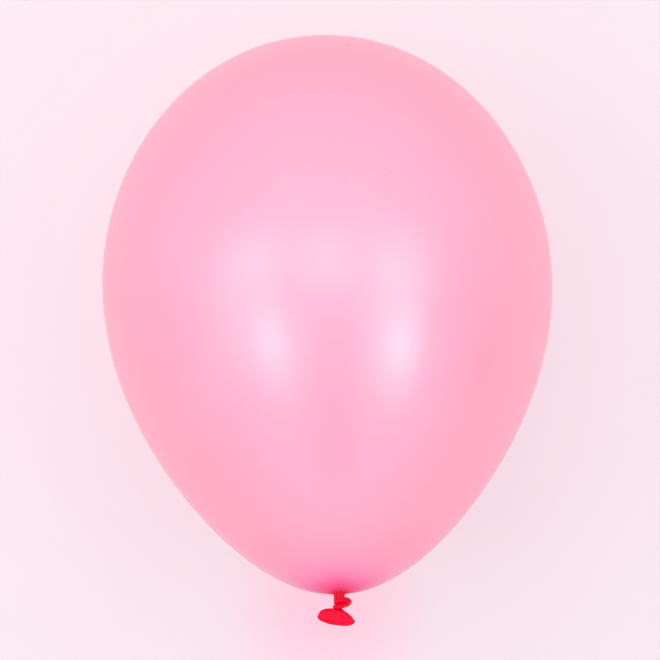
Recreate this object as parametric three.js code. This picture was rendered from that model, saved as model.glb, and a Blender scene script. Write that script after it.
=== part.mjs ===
// An inflated latex balloon, tied off at the neck. Millimetres, +Z up from the neck to the crown.
// The origin is where the neck leaves the envelope. Every piece is a region of one dipped film.
import * as THREE from 'three';

// Envelope: an egg of revolution. t runs from 0 at the crown to PI at the neck,
// height = envelopeHeight * (1 + cos t) / 2, radius = bellyRadius * sin t * a polynomial in cos t
const envelopeHeight = 356.4;
const bellyRadius = 139.3;
const eggPolynomial = [1, 0.139, -0.123, 0.026, 0.041];
const filmThickness = 0.3;
const neckFilmThickness = 0.8;
const thickZoneRadius = 25;
const openingRadius = 3.75;
const envelopeRings = 17;
const envelopeSegments = 52;
const slopeStep = 1e-4;

// Neck: gathered film. Its round top turns in the envelope's opening, its foot on the knot
const neckPivot = new THREE.Vector3(0, 0, 0.4);
const neckDomeRadius = 3.4;
const neckStemRadius = 3.15;
const neckWaistZ = -0.9;
const neckTaperZ = -2.2;
const neckShoulderDrop = 0.5;
const neckPleats = 8;
const neckPleatDepth = 0.24;
const neckSegments = 24;
const domeUnderhang = -0.2;
const domeSteps = 8;
const footShoulder = 0.3;
const footSteps = 5;

// Knot: an overhand knot, tied in the rolled-up film
const knotCentre = new THREE.Vector3(0.3, 0, -8.7);
const knotPivot = new THREE.Vector3(1.3, 0, -4.3);
const knotPivotRadius = 1.35;
const strandPitch = 3;
const strandRadius = 1.3;
const strandSides = 10;
const strandSteps = 52;
// In strand pitches from the knot's centre, from the middle of its back to its lower end.
// Half a turn about Y gives the upper half.
const knotBack = [0, 0.9, 0];
const knotLowerHalf = [
  [0.8, 0.8, 0.25],
  [1.3, 0.2, 0.6],
  [1.1, -0.6, 0.8],
  [0.5, -1, 0.8],
  [-0.15, -0.93, 0.53],
  [-0.5, -0.5, 0.12],
  [-0.36, -0.08, -0.45],
  [-0.33, 0, -0.9],
];

// Tail: the loose end of the neck beyond the knot, a flattened bell with a bead at its mouth
const tailPivot = new THREE.Vector3(-0.7, 0, -13);
const tailRootRadius = 1.3;
const tailLength = 6.6;
const tailSolidLength = 1.6;
const tailWall = 0.6;
const mouthHalfWidth = 10.6;
const mouthHalfDepth = 2.2;
const bellFlare = 0.7;
const mouthTilt = 0.13;
const tailLean = 0.3;
const tailRings = 10;
const tailSegments = 36;
const tailDomeSteps = 4;
const beadRadius = 0.75;
const beadSides = 8;

// Running gap between two pieces that meet
const gap = 0.3;

function latex(color, roughness) {
  return new THREE.MeshStandardMaterial({ color, roughness, metalness: 0 });
}

// Turn a profile of [radius, height] points round +Z
function turned(profile, segments) {
  const points = profile.map(([radius, height]) => new THREE.Vector2(radius, height));
  return new THREE.LatheGeometry(points, segments).rotateX(Math.PI / 2);
}

// Move every vertex of a geometry by a rule
function reshaped(geometry, rule) {
  const places = geometry.getAttribute('position');
  const vertex = new THREE.Vector3();
  for (let i = 0; i < places.count; i += 1) {
    rule(vertex.fromBufferAttribute(places, i));
    places.setXYZ(i, vertex.x, vertex.y, vertex.z);
  }
  return geometry;
}

// Points [radius, height] on an arc about [0, centreZ], from one angle above the equator to another
function arc(radius, centreZ, fromAngle, toAngle, steps) {
  return Array.from({ length: steps + 1 }, (_, i) => {
    const angle = fromAngle + ((toAngle - fromAngle) * i) / steps;
    return [radius * Math.cos(angle), centreZ + radius * Math.sin(angle)];
  });
}

function eggRadius(t) {
  const swell = eggPolynomial.reduce((sum, factor, power) => sum + factor * Math.cos(t) ** power, 0);
  return bellyRadius * Math.sin(t) * swell;
}

function eggPoint(t) {
  return new THREE.Vector2(eggRadius(t), (envelopeHeight * (1 + Math.cos(t))) / 2);
}

// The point on the inner side of the film, square in from the outer side
function innerEggPoint(t) {
  const along = eggPoint(t + slopeStep).sub(eggPoint(t - slopeStep)).normalize();
  const point = eggPoint(t);
  const thickening = Math.exp(-((point.x / thickZoneRadius) ** 2)) * (t > Math.PI / 2 ? 1 : 0);
  const wall = filmThickness + (neckFilmThickness - filmThickness) * thickening;
  return point.add(new THREE.Vector2(along.y, -along.x).multiplyScalar(wall));
}

function envelopeGeometry() {
  const neckSlope = eggRadius(Math.PI - slopeStep) / slopeStep;
  const openingT = Math.PI - openingRadius / neckSlope;
  const stations = Array.from({ length: envelopeRings }, (_, i) => (openingT * (i + 1)) / envelopeRings);
  const outer = stations.map((t) => eggPoint(t).toArray());
  const inner = stations.map((t) => innerEggPoint(t).toArray());
  const crown = [0, envelopeHeight];
  const innerCrown = [0, envelopeHeight - filmThickness];
  return turned([innerCrown, ...inner, ...outer.reverse(), crown], envelopeSegments);
}

// Eight soft pleats, deepest halfway down, on a stem that leans over to the knot
function neckGeometry() {
  const dome = arc(neckDomeRadius, neckPivot.z, Math.PI / 2, domeUnderhang, domeSteps);
  const foot = arc(knotPivotRadius, knotPivot.z, footShoulder, -Math.PI / 2, footSteps);
  dome[0][0] = 0;
  foot[foot.length - 1][0] = 0;
  const stem = [
    [neckStemRadius, neckWaistZ],
    [neckStemRadius, neckTaperZ],
    [neckStemRadius - neckShoulderDrop, neckTaperZ - neckShoulderDrop],
  ];
  const profile = [...dome, ...stem, ...foot].reverse();
  return reshaped(turned(profile, neckSegments), (vertex) => {
    const down = THREE.MathUtils.clamp((neckPivot.z - vertex.z) / (neckPivot.z - knotPivot.z), 0, 1);
    const radius = Math.hypot(vertex.x, vertex.y);
    const fold = 0.5 - 0.5 * Math.cos(neckPleats * Math.atan2(vertex.y, vertex.x));
    const pull = radius > 0 ? 1 - (neckPleatDepth * fold * Math.sin(Math.PI * down)) / radius : 1;
    const lean = knotPivot.x * THREE.MathUtils.smoothstep(-vertex.z, -neckTaperZ, -knotPivot.z);
    vertex.x = vertex.x * pull + lean;
    vertex.y *= pull;
  });
}

function knotGeometry() {
  const upperHalf = knotLowerHalf.map(([x, y, z]) => [-x, y, -z]).reverse();
  const route = [...upperHalf, knotBack, ...knotLowerHalf].map(([x, y, z]) =>
    new THREE.Vector3(x, y, z).multiplyScalar(strandPitch).add(knotCentre),
  );
  const strand = new THREE.Shape().absarc(0, 0, strandRadius, 0, 2 * Math.PI);
  return new THREE.ExtrudeGeometry(strand, {
    steps: strandSteps,
    curveSegments: strandSides / 2,
    bevelEnabled: false,
    extrudePath: new THREE.CatmullRomCurve3(route, false, 'centripetal'),
  });
}

// Half width and half depth of the bell at a share of the way from its root to its mouth
function bellHalfWidth(share) {
  return tailRootRadius + (mouthHalfWidth - tailRootRadius) * Math.sin((Math.PI / 2) * share) ** bellFlare;
}

function bellHalfDepth(share) {
  return tailRootRadius + (mouthHalfDepth - tailRootRadius) * share;
}

// The same bell before it is flattened, round and of equal area
function bellRoundRadius(share) {
  return Math.sqrt(bellHalfWidth(share) * bellHalfDepth(share));
}

// Lay a point of the bell, given in the tail's own frame, over to its side, and set it in place
function layOver(vertex) {
  const down = Math.max(-vertex.z, 0);
  vertex.z -= (mouthTilt * vertex.x * down) / tailLength;
  vertex.x -= tailLean * down;
  vertex.add(tailPivot);
}

function tailGeometry() {
  const wallEnd = 1 - (beadRadius + gap) / tailLength;
  const shares = Array.from({ length: tailRings + 1 }, (_, i) => (wallEnd * i) / tailRings);
  const outer = shares.map((share) => [bellRoundRadius(share), -tailLength * share]);
  const inner = shares
    .filter((share) => share * tailLength > tailSolidLength)
    .map((share) => [bellRoundRadius(share) - tailWall, -tailLength * share]);
  const dome = arc(tailRootRadius, 0, Math.PI / 2, 0, tailDomeSteps).slice(0, -1);
  dome[0][0] = 0;
  const profile = [...dome, ...outer, ...inner.reverse(), [0, -tailSolidLength]].reverse();
  return reshaped(turned(profile, tailSegments), (vertex) => {
    const share = THREE.MathUtils.clamp(-vertex.z / tailLength, 0, 1);
    const flattening = bellHalfWidth(share) / bellRoundRadius(share);
    vertex.x *= flattening;
    vertex.y /= flattening;
    layOver(vertex);
  });
}

function lipGeometry() {
  const ring = new THREE.TorusGeometry(mouthHalfWidth, beadRadius, beadSides, tailSegments);
  return reshaped(ring, (vertex) => {
    const angle = Math.atan2(vertex.y, vertex.x);
    const outward = Math.hypot(vertex.x, vertex.y) - mouthHalfWidth;
    const normal = new THREE.Vector2(mouthHalfDepth * Math.cos(angle), mouthHalfWidth * Math.sin(angle));
    normal.normalize();
    vertex.x = mouthHalfWidth * Math.cos(angle) + outward * normal.x;
    vertex.y = mouthHalfDepth * Math.sin(angle) + outward * normal.y;
    vertex.z -= tailLength;
    layOver(vertex);
  });
}

const pieces = [
  ['envelope', envelopeGeometry(), latex('#ffb3cf', 0.35)],
  ['neck', neckGeometry(), latex('#f3124e', 0.4)],
  ['knot', knotGeometry(), latex('#f3124e', 0.4)],
  ['tail', tailGeometry(), latex('#f3124e', 0.4)],
  ['rolled_lip', lipGeometry(), latex('#e30f47', 0.4)],
];

const balloon = new THREE.Group();
for (const [name, geometry, material] of pieces) {
  const piece = new THREE.Mesh(geometry, material);
  piece.name = name;
  balloon.add(piece);
}

export default balloon;
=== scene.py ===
import math

import bpy
from mathutils import Matrix, Vector


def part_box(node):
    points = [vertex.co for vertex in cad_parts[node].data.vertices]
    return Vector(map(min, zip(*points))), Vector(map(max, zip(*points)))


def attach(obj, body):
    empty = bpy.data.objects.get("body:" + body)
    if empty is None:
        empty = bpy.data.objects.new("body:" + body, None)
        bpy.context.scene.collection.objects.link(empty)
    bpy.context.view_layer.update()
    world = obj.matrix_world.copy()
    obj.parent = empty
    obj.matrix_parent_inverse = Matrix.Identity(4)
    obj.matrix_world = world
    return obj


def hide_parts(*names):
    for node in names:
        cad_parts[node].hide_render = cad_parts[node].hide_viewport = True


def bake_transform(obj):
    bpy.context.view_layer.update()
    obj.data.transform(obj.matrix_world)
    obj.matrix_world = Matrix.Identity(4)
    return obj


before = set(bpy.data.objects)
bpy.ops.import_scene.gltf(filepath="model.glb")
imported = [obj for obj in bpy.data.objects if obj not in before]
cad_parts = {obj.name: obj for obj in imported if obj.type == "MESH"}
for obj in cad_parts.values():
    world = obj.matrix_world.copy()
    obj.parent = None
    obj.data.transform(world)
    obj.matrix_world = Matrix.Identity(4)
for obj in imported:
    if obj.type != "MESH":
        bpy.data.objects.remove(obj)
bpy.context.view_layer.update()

mm = 0.001
weldReach = 0.002 * mm           # vertices closer than this are one
poleReach = 0.01 * mm            # how far from a pole a vertex still counts as lying on it


def putDown():
    if bpy.context.mode != "OBJECT":
        bpy.ops.object.mode_set(mode="OBJECT")
    bpy.ops.object.select_all(action="DESELECT")


def pickUp(piece):
    putDown()
    piece.select_set(True)
    bpy.context.view_layer.objects.active = piece


def startRing(name, sides, radius, height):
    putDown()
    bpy.ops.mesh.primitive_circle_add(vertices=sides, radius=radius, location=(0, 0, height))
    ring = bpy.context.object
    ring.name = ring.data.name = name
    bpy.ops.object.transform_apply(location=True)
    bpy.ops.object.mode_set(mode="EDIT")
    bpy.ops.mesh.select_all(action="SELECT")
    return ring


# A tube round the Z axis, pulled ring by ring through stations of (radius, height)
def pullTube(name, sides, stations, closeEnd=True):
    radius, height = stations[0]
    tube = startRing(name, sides, radius, height)
    bpy.ops.mesh.edge_face_add()
    for nextRadius, nextHeight in stations[1:]:
        bpy.ops.mesh.extrude_region_move(TRANSFORM_OT_translate={"value": (0, 0, nextHeight - height)})
        grow = nextRadius / radius
        bpy.ops.transform.resize(value=(grow, grow, 1), center_override=(0, 0, nextHeight))
        radius, height = nextRadius, nextHeight
    if not closeEnd:
        bpy.ops.mesh.delete(type="ONLY_FACE")
    bpy.ops.object.mode_set(mode="OBJECT")
    return tube


# Moves every vertex by a rule that gives its new place and how deep in a fold it lies, 0 to 1; the rubber
# paints shade by this depth
def reshape(piece, rule):
    putDown()
    fold = piece.data.attributes.new("fold", "FLOAT", "POINT")
    for vertex in piece.data.vertices:
        vertex.co, fold.data[vertex.index].value = rule(vertex.co.copy())
    piece.data.update()


def applyModifier(piece, kind, **settings):
    pickUp(piece)
    modifier = piece.modifiers.new(kind.title(), kind)
    for name, value in settings.items():
        setattr(modifier, name, value)
    bpy.ops.object.modifier_apply(modifier=modifier.name)


def faceOutwards(piece):
    pickUp(piece)
    bpy.ops.object.mode_set(mode="EDIT")
    bpy.ops.mesh.select_all(action="SELECT")
    bpy.ops.mesh.remove_doubles(threshold=weldReach)
    bpy.ops.mesh.normals_make_consistent(inside=False)
    bpy.ops.object.mode_set(mode="OBJECT")


def finishPiece(piece, finish, slotName, *nodes):
    pickUp(piece)
    bpy.ops.object.transform_apply(location=True, rotation=True, scale=True)
    bpy.ops.object.shade_smooth()
    piece.data.materials.append(finish)
    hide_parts(*nodes)
    print(piece.name, "made:", len(piece.data.polygons), "faces")


def smoothStep(value, low, high):
    share = min(max((value - low) / (high - low), 0), 1)
    return share * share * (3 - 2 * share)


# The camera looks up at the balloon from below its middle
shot = {
    "belowHorizon": 20,      # degrees that the camera looks up
    "roll": 2.24,            # degrees
    "distance": 1.808,       # metres
    "frameWidth": 0.4116,    # metres across the picture at the balloon
    "aimRight": 0.001,
    "aimDown": 0.010,
    "sensorWidth": 36,       # millimetres
    "farthest": 50,          # metres
}

filmLow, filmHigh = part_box("envelope")
balloonHeight = filmHigh.z
balloonMiddle = Vector((0, 0, balloonHeight / 2))


def cameraAxes():
    tilt, roll = math.radians(shot["belowHorizon"]), math.radians(shot["roll"])
    forward = Vector((0, math.cos(tilt), math.sin(tilt)))
    levelUp = Vector((0, -math.sin(tilt), math.cos(tilt)))
    right = Vector((1, 0, 0)) * math.cos(roll) - levelUp * math.sin(roll)
    up = Vector((1, 0, 0)) * math.sin(roll) + levelUp * math.cos(roll)
    return right, up, forward


def placeCamera():
    right, up, forward = cameraAxes()
    aim = balloonMiddle + right * shot["aimRight"] - up * shot["aimDown"]
    putDown()
    bpy.ops.object.camera_add()
    camera = bpy.context.object
    camera.name = "camera"
    turn = Matrix((right, up, -forward)).transposed().to_4x4()
    camera.matrix_world = Matrix.Translation(aim - forward * shot["distance"]) @ turn
    camera.data.sensor_width = shot["sensorWidth"]
    camera.data.lens = shot["sensorWidth"] * shot["distance"] / shot["frameWidth"]
    camera.data.clip_end = shot["farthest"]
    bpy.context.scene.camera = camera


placeCamera()
print("camera placed")


# The stretched film
film = {
    "pink": (0.94, 0.33, 0.455),
    "neckReach": 67 * mm,        # how far the thick, deep colour spreads from the neck
    # the colours from pink to the rubber's red, each with its place: 0 at the reach's edge, 1 at the neck
    "deepening": ((0.36, (0.94, 0.305, 0.45)), (0.54, (0.95, 0.265, 0.455)), (0.70, (0.96, 0.17, 0.39)),
                  (0.79, (0.95, 0.10, 0.33)), (0.90, (0.92, 0.025, 0.19))),
    "redFrom": 0.95,
    "crownReach": 9 * mm,
    "crownShare": 0.3,           # how much of the deeper pink shows at the crown
    "deepPink": (0.94, 0.20, 0.36),
    "roughness": 0.31,
    "neckDullness": 0.4,         # roughness that the thick film has on top of that at the neck
    "dullReach": 33.5 * mm,
    "gloss": 1.0,
    "tint": (1.0, 0.75, 0.85),   # what one layer of film does to the light that falls through it
    "blotchSize": 30 * mm,
    "grainSize": 1.5 * mm,
    "mottle": 0.03,
    "grainDepth": 0.002 * mm,
}

# The gathered rubber of the neck, knot, tail and lip
rubber = {
    "red": (0.76, 0.0, 0.026),
    "plainFold": 0.4,            # the depth of fold at which the rubber has its plain red
    # the red with painted shade, deep down in a fold
    "paintedFoldShade": (0.46, 0.0, 0.02),
    "stretchedRed": (0.82, 0.001, 0.04),
    "roughness": 0.36,
    "gloss": 0.10,
    "blotchSize": 1.6 * mm,
    "grainSize": 0.3 * mm,
    "mottle": 0.2,
    "grainDepth": 0.012 * mm,
    "glowShare": 0.6,            # light that goes into the rubber and comes out beside where it went in
    "glowReach": 1.2 * mm,
}


# Values that both kinds of latex share
latex = {
    "blotchDetail": 3,
    "grainDetail": 2,
    "roughnessSwing": 0.15,      # how much the roughness changes with the blotches
}


def newMaterial(name):
    material = bpy.data.materials.new(name)
    material.use_nodes = True
    return material, material.node_tree, material.node_tree.nodes["Principled BSDF"]


# A shader node with its settings, and what feeds its inputs: another node's socket, or a value
def addNode(tree, kind, inputs=(), **settings):
    node = tree.nodes.new("ShaderNode" + kind)
    for name, value in settings.items():
        setattr(node, name, value)
    for key, source in dict(inputs).items():
        if isinstance(source, bpy.types.NodeSocket):
            tree.links.new(source, node.inputs[key])
        else:
            node.inputs[key].default_value = source
    return node


def newGroup(name, inputs, outputs):
    group = bpy.data.node_groups.new(name, "ShaderNodeTree")
    for side, sockets in (("INPUT", inputs), ("OUTPUT", outputs)):
        for socket, kind in sockets.items():
            group.interface.new_socket(socket, in_out=side, socket_type="NodeSocket" + kind)
    return group, group.nodes.new("NodeGroupInput"), group.nodes.new("NodeGroupOutput")


# Dipped latex: slow blotches in the pigment and a fine grain in the skin.
# Shade is about 1, Height and Roughness Shift are about 0.
def makeLatexSkin():
    group, given, result = newGroup(
        "latexSkin",
        {"Place": "Vector", "Blotches Per Metre": "Float", "Grains Per Metre": "Float", "Mottle": "Float"},
        {"Shade": "Float", "Height": "Float", "Roughness Shift": "Float"})
    blotch = addNode(group, "TexNoise", {
        "Vector": given.outputs["Place"], "Scale": given.outputs["Blotches Per Metre"],
        "Detail": latex["blotchDetail"]})
    grain = addNode(group, "TexNoise", {
        "Vector": given.outputs["Place"], "Scale": given.outputs["Grains Per Metre"],
        "Detail": latex["grainDetail"]})
    centred = addNode(group, "Math", {0: blotch.outputs["Fac"], 1: 0.5}, operation="SUBTRACT")
    shade = addNode(group, "Math", {
        0: centred.outputs[0], 1: given.outputs["Mottle"], 2: 1.0}, operation="MULTIPLY_ADD")
    height = addNode(group, "Math", {0: grain.outputs["Fac"], 1: 0.5}, operation="SUBTRACT")
    shift = addNode(group, "Math", {0: centred.outputs[0], 1: latex["roughnessSwing"]},
                    operation="MULTIPLY")
    group.links.new(shade.outputs[0], result.inputs["Shade"])
    group.links.new(height.outputs[0], result.inputs["Height"])
    group.links.new(shift.outputs[0], result.inputs["Roughness Shift"])
    return group


latexSkin = makeLatexSkin()


# Feeds the skin's shade, roughness and grain into a shader whose plain colour is given.
# A dulling socket, where there is one, adds to the roughness.
def layLatexSkin(tree, shader, colour, look, dulling=None):
    place = addNode(tree, "TexCoord")
    skin = addNode(tree, "Group", node_tree=latexSkin)
    tree.links.new(place.outputs["Object"], skin.inputs["Place"])
    skin.inputs["Blotches Per Metre"].default_value = 1 / look["blotchSize"]
    skin.inputs["Grains Per Metre"].default_value = 1 / look["grainSize"]
    skin.inputs["Mottle"].default_value = look["mottle"]
    shaded = addNode(tree, "VectorMath", {0: colour, "Scale": skin.outputs["Shade"]}, operation="SCALE")
    rough = addNode(tree, "Math", {0: skin.outputs["Roughness Shift"], 1: look["roughness"]},
                    operation="ADD")
    if dulling:
        rough = addNode(tree, "Math", {0: rough.outputs[0], 1: dulling}, operation="ADD")
    grain = addNode(tree, "Bump", {"Height": skin.outputs["Height"], "Distance": look["grainDepth"]})
    tree.links.new(shaded.outputs["Vector"], shader.inputs["Base Color"])
    tree.links.new(rough.outputs[0], shader.inputs["Roughness"])
    tree.links.new(grain.outputs["Normal"], shader.inputs["Normal"])
    shader.inputs["Specular IOR Level"].default_value = look["gloss"]


# 1 at a point of the balloon's axis, falling to 0 at the reach
def nearness(tree, height, reach):
    place = addNode(tree, "TexCoord")
    apart = addNode(tree, "VectorMath", {0: place.outputs["Object"], 1: (0, 0, height)},
                    operation="DISTANCE")
    return addNode(tree, "MapRange", {
        "Value": apart.outputs["Value"], "From Max": reach, "To Min": 1, "To Max": 0}).outputs["Result"]


# The film is thick and red where it is gathered, and pales as it stretches
def filmMaterial():
    material, tree, shader = newMaterial("pearlPinkFilm")
    ramp = addNode(tree, "ValToRGB", {"Fac": nearness(tree, 0, film["neckReach"])})
    stops = ((0.0, film["pink"]), *film["deepening"], (film["redFrom"], rubber["red"]))
    colours = ramp.color_ramp
    colours.interpolation = "B_SPLINE"
    for spot, _ in film["deepening"]:
        colours.elements.new(spot)
    for element, (spot, colour) in zip(colours.elements, stops):
        element.position = spot
        element.color = (*colour, 1)
    crown = addNode(tree, "Math", {
        0: nearness(tree, balloonHeight, film["crownReach"]), 1: film["crownShare"]}, operation="MULTIPLY")
    pigment = addNode(tree, "MixRGB", {
        "Fac": crown.outputs[0], "Color1": ramp.outputs["Color"], "Color2": (*film["deepPink"], 1)})
    dulling = addNode(tree, "Math", {0: nearness(tree, 0, film["dullReach"]), 1: film["neckDullness"]},
                      operation="MULTIPLY")
    layLatexSkin(tree, shader, pigment.outputs["Color"], film, dulling.outputs[0])
    ray = addNode(tree, "LightPath")
    clear = addNode(tree, "BsdfTransparent", {"Color": (*film["tint"], 1)})
    mix = addNode(tree, "MixShader", {
        "Fac": ray.outputs["Is Shadow Ray"], 1: shader.outputs["BSDF"], 2: clear.outputs["BSDF"]})
    tree.links.new(mix.outputs["Shader"], tree.nodes["Material Output"].inputs["Surface"])
    return material


# Gathered rubber is deep red, with painted shade down in the folds, and lighter where a ridge is pulled
# thin
def rubberMaterial():
    material, tree, shader = newMaterial("gatheredRed")
    fold = addNode(tree, "Attribute", attribute_name="fold")
    ramp = addNode(tree, "ValToRGB", {"Fac": fold.outputs["Fac"]})
    colours = ramp.color_ramp
    colours.elements.new(rubber["plainFold"])
    # painted shade: the deeper a point lies in a fold, the darker its red
    stops = ((0.0, "stretchedRed"), (rubber["plainFold"], "red"), (1.0, "paintedFoldShade"))
    for element, (spot, name) in zip(colours.elements, stops):
        element.position = spot
        element.color = (*rubber[name], 1)
    layLatexSkin(tree, shader, ramp.outputs["Color"], rubber)
    shader.inputs["Subsurface Weight"].default_value = rubber["glowShare"]
    shader.inputs["Subsurface Scale"].default_value = rubber["glowReach"]
    return material


filmFinish = filmMaterial()
rubberFinish = rubberMaterial()
print("materials ready")


# The inflated film, one egg from crown to neck
envelope = {
    "sides": 144,
    "rings": 104,
    "crowding": 1.5,             # above 1, the rings crowd towards the neck
    "egg": (1, 0.139, -0.123, 0.026, 0.041),
    "pleats": 18,
    "pleatDepth": 0.28 * mm,
    "pleatFrom": 3.4 * mm,       # radii between which the pleats fade away
    "pleatTo": 19 * mm,
    "pleatWander": 1.2,          # radians by which the pleats stray from even spacing
    "pleatUnevenness": 0.25,     # the shallowest pleats lack twice this share of the depth
    "pleatGroups": 5,
    "dip": 1.4 * mm,             # how far the film is drawn down at the neck
    "dipReach": 9 * mm,
}
halfWidth = (filmHigh.x - filmLow.x) / 2


def eggShape(t):
    swell = sum(factor * math.cos(t) ** power for power, factor in enumerate(envelope["egg"]))
    return math.sin(t) * swell


searchSteps = 720
widestShape = max(eggShape(math.pi * step / searchSteps) for step in range(searchSteps))


def eggStation(share):
    t = math.pi * (1 - share ** envelope["crowding"])
    return halfWidth / widestShape * eggShape(t), balloonHeight * (1 + math.cos(t)) / 2


def pleatFilm(place):
    radius, angle = math.hypot(place.x, place.y), math.atan2(place.y, place.x)
    if place.z > balloonHeight / 2:
        return place, 0
    fade = (1 - smoothStep(radius, envelope["pleatFrom"], envelope["pleatTo"])) ** 2
    wave = math.sin(envelope["pleats"] * angle + envelope["pleatWander"] * math.sin(2 * angle))
    uneven = envelope["pleatUnevenness"]
    height = 1 - uneven + uneven * math.sin(envelope["pleatGroups"] * angle + 0.7)
    place.z += envelope["pleatDepth"] * fade * wave * height
    place.z -= envelope["dip"] * math.exp(-(radius / envelope["dipReach"]) ** 2)
    return place, 0.5 - 0.5 * wave * fade


# Turns the flat end of a tube into a fan of triangles round its pole
def closePole(tube, height, pole):
    pickUp(tube)
    bpy.ops.object.mode_set(mode="EDIT")
    bpy.ops.mesh.select_all(action="DESELECT")
    bpy.ops.object.mode_set(mode="OBJECT")
    for face in tube.data.polygons:
        face.select = len(face.vertices) > 4 and abs(face.center.z - height) < poleReach
    bpy.ops.object.mode_set(mode="EDIT")
    bpy.ops.mesh.select_mode(type="FACE")
    bpy.ops.mesh.poke()
    bpy.ops.object.mode_set(mode="OBJECT")
    for vertex in tube.data.vertices:
        onAxis = math.hypot(vertex.co.x, vertex.co.y) < poleReach
        if onAxis and abs(vertex.co.z - height) < poleReach:
            vertex.co.z = pole


def makeEnvelope():
    rings = envelope["rings"]
    stations = [eggStation(ring / rings) for ring in range(1, rings)]
    skin = pullTube("balloonFilm", envelope["sides"], stations)
    for (_, height), pole in ((stations[0], 0), (stations[-1], balloonHeight)):
        closePole(skin, height, pole)
    faceOutwards(skin)
    reshape(skin, pleatFilm)
    finishPiece(skin, filmFinish, "inflated_latex", "envelope")
    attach(skin, "balloon")


makeEnvelope()


# The neck: film gathered into a pleated stem
neck = {
    "sides": 132,
    "rings": 36,
    "top": 1.1 * mm,             # inside the film, where the stem spreads into it
    "foot": -7.7 * mm,           # inside the knot
    "radius": 3.15 * mm,
    # what the stem gains towards its top: how much, and over what height it fades
    "flares": ((3.2 * mm, 0.75 * mm), (1.1 * mm, 2.6 * mm)),
    "pleats": 11,
    "pleatDepth": 0.32 * mm,
    "pleatFrom": 0.8 * mm,       # heights between which the pleats deepen
    "pleatTo": -1.6 * mm,
    "pleatWander": 1.4,
    "sharpness": 0.6,            # below 1, ridges and folds are broad, with steep sides between them
    "twist": 90,                 # radians per metre
    "lean": 0.35 * mm,           # how far the foot stands to the left
    "leanFrom": -1 * mm,
    "leanTo": -7 * mm,
    "bendLength": 3 * mm,
    "flatness": 0.9,
}


def pleatNeck(place):
    radius, angle = math.hypot(place.x, place.y), math.atan2(place.y, place.x)
    depth = neck["pleatDepth"] * smoothStep(-place.z, -neck["pleatFrom"], -neck["pleatTo"])
    wander = neck["pleatWander"] * math.sin(2 * angle + 0.4)
    wave = math.cos(neck["pleats"] * angle + neck["twist"] * place.z + wander)
    ridge = abs(wave) ** neck["sharpness"] * (1 if wave > 0 else -1)
    pull = 1 - depth * (0.5 - 0.5 * ridge) / max(radius, mm)
    lean = neck["lean"] * smoothStep(-place.z, -neck["leanFrom"], -neck["leanTo"])
    place.x = place.x * pull - lean
    place.y *= pull * neck["flatness"]
    return place, (0.5 - 0.5 * ridge) * depth / neck["pleatDepth"]


def makeNeck():
    stations = []
    for ring in range(neck["rings"] + 1):
        down = (neck["top"] - neck["foot"]) * ring / neck["rings"]
        flare = sum(gain * math.exp(-down / fade) for gain, fade in neck["flares"])
        stations.append((neck["radius"] + flare, neck["top"] - down))
    stem = pullTube("gatheredNeck", neck["sides"], stations)
    faceOutwards(stem)
    reshape(stem, pleatNeck)
    finishPiece(stem, rubberFinish, "gathered_latex", "neck")
    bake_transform(stem)


makeNeck()


# The knot: the rolled-up film in an overhand knot
knot = {
    "centre": Vector((0.4, 0, -8.4)) * mm,
    "pitch": 3.0 * mm,
    "reachLeft": 0.7,            # the knot is pulled up tight on its left and bulges on its right
    "reachRight": 1.05,
    "back": (0, 0.9, 0),
    # in pitches from the centre, from the middle of the back to the lower end;
    # half a turn about Y gives the upper half
    "lowerHalf": ((0.85, 0.8, 0.1), (1.35, 0.2, 0.3), (1.15, -0.6, 0.5), (0.5, -1, 0.65),
                  (-0.15, -0.93, 0.53), (-0.5, -0.5, 0.12), (-0.36, -0.08, -0.45), (-0.33, 0, -0.9)),
    "sides": 36,
    "steps": 120,
    "fineSteps": 24,             # steps between two given points while the route is smoothed
    "halfWidth": 2.05 * mm,
    "halfThickness": 1.6 * mm,
    "spread": 0.4,               # how much wider the strand lies where the knot bulges
    "bulgeReach": 4 * mm,
    "pleats": 9,
    "pleatWander": 2,
    "wanderTurns": 6,            # radians along the whole strand
    "pleatDepth": 0.2 * mm,
}


# Evenly spaced points on a smooth curve through the given ones
def smoothRoute(points, count):
    fine = []
    padded = [2 * points[0] - points[1], *points, 2 * points[-1] - points[-2]]
    for p0, p1, p2, p3 in zip(padded, padded[1:], padded[2:], padded[3:]):
        for step in range(knot["fineSteps"]):
            t = step / knot["fineSteps"]
            fine.append(0.5 * (2 * p1 + (p2 - p0) * t + (2 * p0 - 5 * p1 + 4 * p2 - p3) * t * t
                               + (3 * p1 - p0 - 3 * p2 + p3) * t ** 3))
    fine.append(points[-1])
    lengths = [0]
    for here, there in zip(fine, fine[1:]):
        lengths.append(lengths[-1] + (there - here).length)
    route, piece = [], 0
    for index in range(count):
        target = lengths[-1] * index / (count - 1)
        while piece < len(fine) - 2 and lengths[piece + 1] < target:
            piece += 1
        share = (target - lengths[piece]) / (lengths[piece + 1] - lengths[piece])
        route.append(fine[piece].lerp(fine[piece + 1], share))
    return route


# Directions across and out of a route, carried along it without a twist
def routeFrames(route, out):
    frames = []
    for index in range(len(route)):
        along = (route[min(index + 1, len(route) - 1)] - route[max(index - 1, 0)]).normalized()
        out = (out - along * out.dot(along)).normalized()
        frames.append((along.cross(out), out))
    return frames


def knotRoute():
    upperHalf = [(-x, y, -z) for x, y, z in reversed(knot["lowerHalf"])]
    points = []
    for x, y, z in (*upperHalf, knot["back"], *knot["lowerHalf"]):
        reach = knot["reachRight"] if x > 0 else knot["reachLeft"]
        points.append(knot["centre"] + Vector((x * reach, y, z)) * knot["pitch"])
    return smoothRoute(points, knot["steps"])


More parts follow.
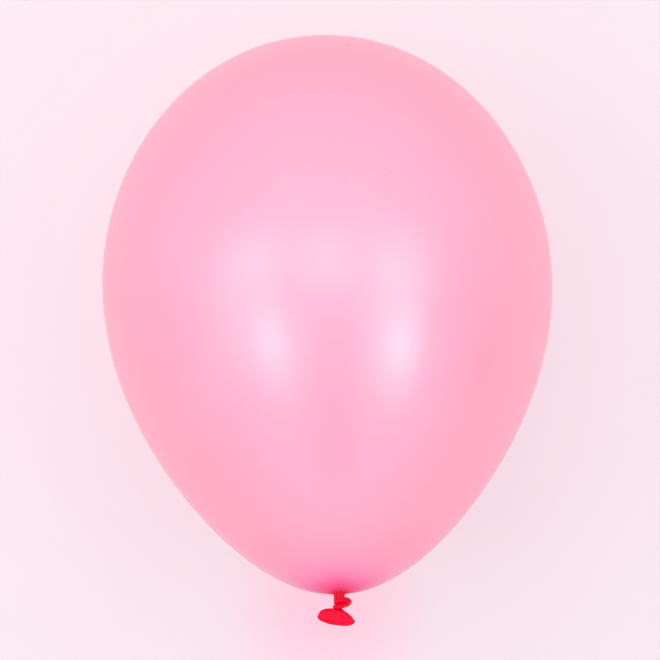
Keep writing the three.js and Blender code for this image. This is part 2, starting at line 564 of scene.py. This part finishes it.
def makeKnot():
    route = knotRoute()
    frames = routeFrames(route, Vector((0, -1, 0)))
    last = len(route) - 1

    def layStrand(place):
        index = round(place.z * last)
        angle = math.atan2(place.y, place.x)
        across, out = frames[index]
        wander = knot["pleatWander"] * math.sin(knot["wanderTurns"] * place.z) + math.sin(2 * angle)
        wave = math.cos(knot["pleats"] * angle + wander)
        size = 1 - knot["pleatDepth"] / knot["halfThickness"] * (0.5 - 0.5 * wave)
        bulge = smoothStep(route[index].x, knot["centre"].x, knot["centre"].x + knot["bulgeReach"])
        width = knot["halfWidth"] * (1 + knot["spread"] * bulge)
        spot = (route[index] + across * (width * size * math.cos(angle))
                + out * (knot["halfThickness"] * size * math.sin(angle)))
        return spot, 0.5 - 0.5 * wave

    anyRadius = 0.1              # of the straight strand, from which only the angle round it is read
    straight = [(anyRadius, index / last) for index in range(last + 1)]
    strand = pullTube("tiedKnot", knot["sides"], straight)
    reshape(strand, layStrand)
    faceOutwards(strand)
    applyModifier(strand, "SUBSURF", levels=1, render_levels=1)
    finishPiece(strand, rubberFinish, "gathered_latex", "knot")
    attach(strand, "knot")


makeKnot()


# The tail: a flattened bell, and the bead rolled round its mouth
tail = {
    "sides": 144,
    "rings": 26,
    # the two sides of the bell seen from the front, as Bezier handles (x, z) from root to mouth
    "leftSide": ((-2.0, -10.6), (-5.5, -10.4), (-13.2, -9.4), (-13.1, -15.2)),
    "rightSide": ((1.3, -10.8), (2.6, -12.8), (8.3, -15.6), (8.0, -19.0)),
    "sag": 2.9 * mm,             # how far the mouth hangs below the line between its corners
    "sagCurve": 1.5,             # above 1, the sag sets in late on the way to the mouth
    "corner": 0.1,               # how softly the mouth turns at its corners
    "rootDepth": 1.5 * mm,
    "bellyDepth": 2.1 * mm,
    "mouthDepth": 1.2 * mm,
    "wall": 0.35 * mm,
    "creases": 13,
    "creaseDepth": 0.5 * mm,
    "creaseWander": 1.5,
    "creaseFade": 0.8,           # share of the creases' depth that is gone at the mouth
    "foldFade": 0.6,             # share of their painted shade that is gone there
    "bead": 0.75 * mm,
    "beadSides": 24,
    "beadTurns": 4,              # ridges of the roll round the bead
    "beadRidge": 0.05,           # their height, in beads
    "beadLumps": 0.08,
    "bendFrom": -11.5 * mm,
    "bendTo": -14.5 * mm,
}


def bezier(handles, t):
    a, b, c, d = (Vector((x, 0, z)) * mm for x, z in handles)
    rest = 1 - t
    return a * rest ** 3 + b * 3 * rest * rest * t + c * 3 * rest * t * t + d * t ** 3


# A place on the bell and how deep in a crease it lies,
# from an angle round the bell and a share of the way from its root to its mouth
def bellPlace(angle, share):
    left, right = bezier(tail["leftSide"], share), bezier(tail["rightSide"], share)
    edge = math.cos(angle)
    puff = 4 * share * (1 - share)
    depth = tail["rootDepth"] + (tail["mouthDepth"] - tail["rootDepth"]) * share
    depth += (tail["bellyDepth"] - depth) * puff
    wave = math.sin(tail["creases"] * angle + tail["creaseWander"] * math.sin(3 * angle) + 0.8)
    fold = 0.5 - 0.5 * wave
    crease = tail["creaseDepth"] * (1 - tail["creaseFade"] * share) * fold
    corner = tail["corner"]
    turn = (math.hypot(math.sin(angle), corner) ** 0.5 - corner ** 0.5) / (1 - corner ** 0.5)
    hang = Vector((0, 0, -tail["sag"])) * share ** tail["sagCurve"] * turn
    outwards = Vector((0, 1, 0)) * (depth - crease) * math.sin(angle)
    spot = (left + right) / 2 + (right - left) / 2 * edge + hang + outwards
    return spot, fold * (1 - tail["foldFade"] * share)


def bendWithTail(piece):
    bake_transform(piece)


def makeBell():
    rings = tail["rings"]
    bell = pullTube("tailBell", tail["sides"], [(1, -ring / rings) for ring in range(rings + 1)],
                    closeEnd=False)
    reshape(bell, lambda place: bellPlace(math.atan2(place.y, place.x), -place.z))
    faceOutwards(bell)
    applyModifier(bell, "SOLIDIFY", thickness=tail["wall"], offset=-1)
    finishPiece(bell, rubberFinish, "gathered_latex", "tail")
    bendWithTail(bell)


def makeLip():
    putDown()
    bpy.ops.mesh.primitive_torus_add(major_segments=tail["sides"], minor_segments=tail["beadSides"],
                                     major_radius=1, minor_radius=0.1)
    lip = bpy.context.object
    lip.name = lip.data.name = "rolledLip"
    shareStep = 0.03
    angleStep = 0.02

    def rollBead(place):
        angle = math.atan2(place.y, place.x)
        around = math.atan2(place.z, math.hypot(place.x, place.y) - 1)
        rim = bellPlace(angle, 1)[0]
        down = (rim - bellPlace(angle, 1 - shareStep)[0]).normalized()
        along = (bellPlace(angle + angleStep, 1)[0] - bellPlace(angle - angleStep, 1)[0]).normalized()
        out = along.cross(down).normalized()
        wave = math.cos(tail["beadTurns"] * around + 3 * angle)
        size = tail["bead"] * (1 + tail["beadLumps"] * math.sin(7 * angle + 1) + tail["beadRidge"] * wave)
        return rim + (out * math.cos(around) + down * math.sin(around)) * size, 0.35 - 0.25 * wave

    reshape(lip, rollBead)
    faceOutwards(lip)
    finishPiece(lip, rubberFinish, "rolled_latex", "rolled_lip")
    bendWithTail(lip)


makeBell()
makeLip()


# The stage: paper behind, a floor far below, and the room round them
studio = {
    "backdropGap": 0.152,           # metres behind the balloon's middle
    "backdropSize": 2.6,
    "paper": (0.492, 0.447, 0.47),
    "paperRoughness": 0.9,
    # a dark card low in front, which the film mirrors and the camera does not see
    "card": (3, -32, 1.45, 0.5, 1.3),    # degrees right, degrees above, metres away, width, height
    "cardCloth": (0.01, 0.01, 0.01),
    "paperGlow": 0.66,
    "paintedShadow": (0.53, 0.36, 0.42),    # painted pink shadow and glow on the paper, standing for light that has come through the film
    "paintedShadowDrop": 0.197,             # metres below the balloon's middle
    "paintedShadowReach": 0.085,
    "floor": (0.86, 0.84, 0.86),
    "floorDrop": 1.1,
    "floorRadius": 4,
    "roomAbove": (0.93, 0.90, 0.92),
    "roomBelow": (0.36, 0.06, 0.11),
    "roomSeen": (0.80, 0.78, 0.79), # what the camera sees of the room past the paper
    "roomBlend": 0.6,               # sine of the angle, up and down, over which the room changes
}

# Soft lamps round the balloon
lamps = {
    # name: degrees right of the camera, degrees above it, metres away, width, height, watts
    "leftCore": (-27, -10, 1.3, 0.28, 0.36, 1.80),
    "rightCore": (36, -10, 1.3, 0.34, 0.40, 1.90),
    "leftBroad": (-42, 2, 1.3, 0.80, 0.80, 2.48),
    "rightBroad": (34, 2, 1.3, 0.60, 0.80, 2.41),
    "leftHigh": (-34, 18, 1.3, 0.70, 0.44, 1.45),
    "rightHigh": (34, 18, 1.3, 0.60, 0.44, 1.25),
    "middleHigh": (0, 18, 1.3, 0.60, 0.44, 1.85),
    "frontTop": (0, 46, 1.4, 1.4, 0.60, 0.55),
    "leftWall": (-85, 0, 1.6, 1.2, 1.6, 2.10),
    "rightRim": (125, 0, 1.6, 0.9, 1.6, 9.30),
}


def stageMaterial(name, colour):
    material, _, shader = newMaterial(name)
    shader.inputs["Base Color"].default_value = (*colour, 1)
    shader.inputs["Roughness"].default_value = studio["paperRoughness"]
    shader.inputs["Specular IOR Level"].default_value = 0
    return material


# The paper and the floor don't stand in the way of a camera or lamp behind them
def clearFromBehind(material):
    tree = material.node_tree
    seen = addNode(tree, "NewGeometry")
    clear = addNode(tree, "BsdfTransparent")
    mix = addNode(tree, "MixShader", {
        "Fac": seen.outputs["Backfacing"], 1: tree.nodes["Principled BSDF"].outputs["BSDF"],
        2: clear.outputs["BSDF"]})
    tree.links.new(mix.outputs["Shader"], tree.nodes["Material Output"].inputs["Surface"])
    return material


# Paper with a painted pink shadow and glow under the balloon, standing for light that has come through the
# film
def backdropMaterial():
    material = stageMaterial("backdropPaper", studio["paper"])
    tree = material.node_tree
    shader = tree.nodes["Principled BSDF"]
    place = addNode(tree, "TexCoord")
    apart = addNode(tree, "VectorMath", {0: place.outputs["Object"], 1: (0, -studio["paintedShadowDrop"], 0)},
                    operation="DISTANCE")
    # painted shadow: near a point below the balloon, the paper's colour and its glow turn pink
    paintedShadow = addNode(tree, "MapRange", {
        "Value": apart.outputs["Value"], "From Max": studio["paintedShadowReach"], "To Min": 1, "To Max": 0},
        interpolation_type="SMOOTHSTEP")
    colour = addNode(tree, "MixRGB", {"Fac": paintedShadow.outputs["Result"], "Color1": (*studio["paper"], 1),
                                      "Color2": (*studio["paintedShadow"], 1)})
    tree.links.new(colour.outputs["Color"], shader.inputs["Base Color"])
    tree.links.new(colour.outputs["Color"], shader.inputs["Emission Color"])
    shader.inputs["Emission Strength"].default_value = studio["paperGlow"]
    return clearFromBehind(material)


def makeStage():
    right, up, forward = cameraAxes()
    putDown()
    bpy.ops.mesh.primitive_plane_add(size=studio["backdropSize"])
    backdrop = bpy.context.object
    backdrop.name = "backdrop"
    turn = Matrix((right, up, -forward)).transposed().to_4x4()
    backdrop.matrix_world = Matrix.Translation(balloonMiddle + forward * studio["backdropGap"]) @ turn
    backdrop.data.materials.append(backdropMaterial())
    putDown()
    bpy.ops.mesh.primitive_circle_add(vertices=96, radius=studio["floorRadius"], fill_type="NGON",
                                      location=(0, 0, -studio["floorDrop"]))
    ground = bpy.context.object
    ground.name = "floor"
    ground.data.materials.append(clearFromBehind(stageMaterial("floorPaper", studio["floor"])))


# The place of a lamp or card round the balloon, and the way it faces
def aroundBalloon(toRight, above, distance):
    right, up, forward = cameraAxes()
    side, rise = math.radians(toRight), math.radians(above)
    towards = (right * math.sin(side) * math.cos(rise) + up * math.sin(rise)
               - forward * math.cos(side) * math.cos(rise))
    return balloonMiddle + towards * distance, towards.to_track_quat("Z", "Y").to_euler()


def addLamp(name, toRight, above, distance, width, height, watts):
    place, turn = aroundBalloon(toRight, above, distance)
    putDown()
    bpy.ops.object.light_add(type="AREA", location=place, rotation=turn)
    lamp = bpy.context.object
    lamp.name = name
    lamp.data.shape = "RECTANGLE"
    lamp.data.size, lamp.data.size_y = width, height
    lamp.data.energy = watts


def addDarkCard():
    toRight, above, distance, width, height = studio["card"]
    place, turn = aroundBalloon(toRight, above, distance)
    putDown()
    bpy.ops.mesh.primitive_plane_add(size=1, location=place, rotation=turn)
    card = bpy.context.object
    card.name = "darkCard"
    card.scale = (width, height, 1)
    card.visible_camera = False
    card.data.materials.append(stageMaterial("darkCloth", studio["cardCloth"]))


# A pale room above; below, only the pink that the paper and the balloon throw back
def makeWorld():
    world = bpy.data.worlds.new("paleRoom")
    world.use_nodes = True
    tree = world.node_tree
    place = addNode(tree, "TexCoord")
    rise = addNode(tree, "VectorMath", {0: place.outputs["Generated"], 1: cameraAxes()[1]},
                   operation="DOT_PRODUCT")
    level = addNode(tree, "MapRange", {
        "Value": rise.outputs["Value"], "From Min": -studio["roomBlend"],
        "From Max": studio["roomBlend"]},
        interpolation_type="SMOOTHSTEP")
    light = addNode(tree, "MixRGB", {"Fac": level.outputs["Result"], "Color1": (*studio["roomBelow"], 1),
                                     "Color2": (*studio["roomAbove"], 1)})
    ray = addNode(tree, "LightPath")
    room = addNode(tree, "MixRGB", {"Fac": ray.outputs["Is Camera Ray"], "Color1": light.outputs["Color"],
                                    "Color2": (*studio["roomSeen"], 1)})
    tree.links.new(room.outputs["Color"], tree.nodes["Background"].inputs["Color"])
    bpy.context.scene.world = world


makeStage()
addDarkCard()
makeWorld()
for lampName, placing in lamps.items():
    addLamp(lampName, *placing)
bpy.context.scene.view_settings.view_transform = "Standard"
print("stage and light ready")
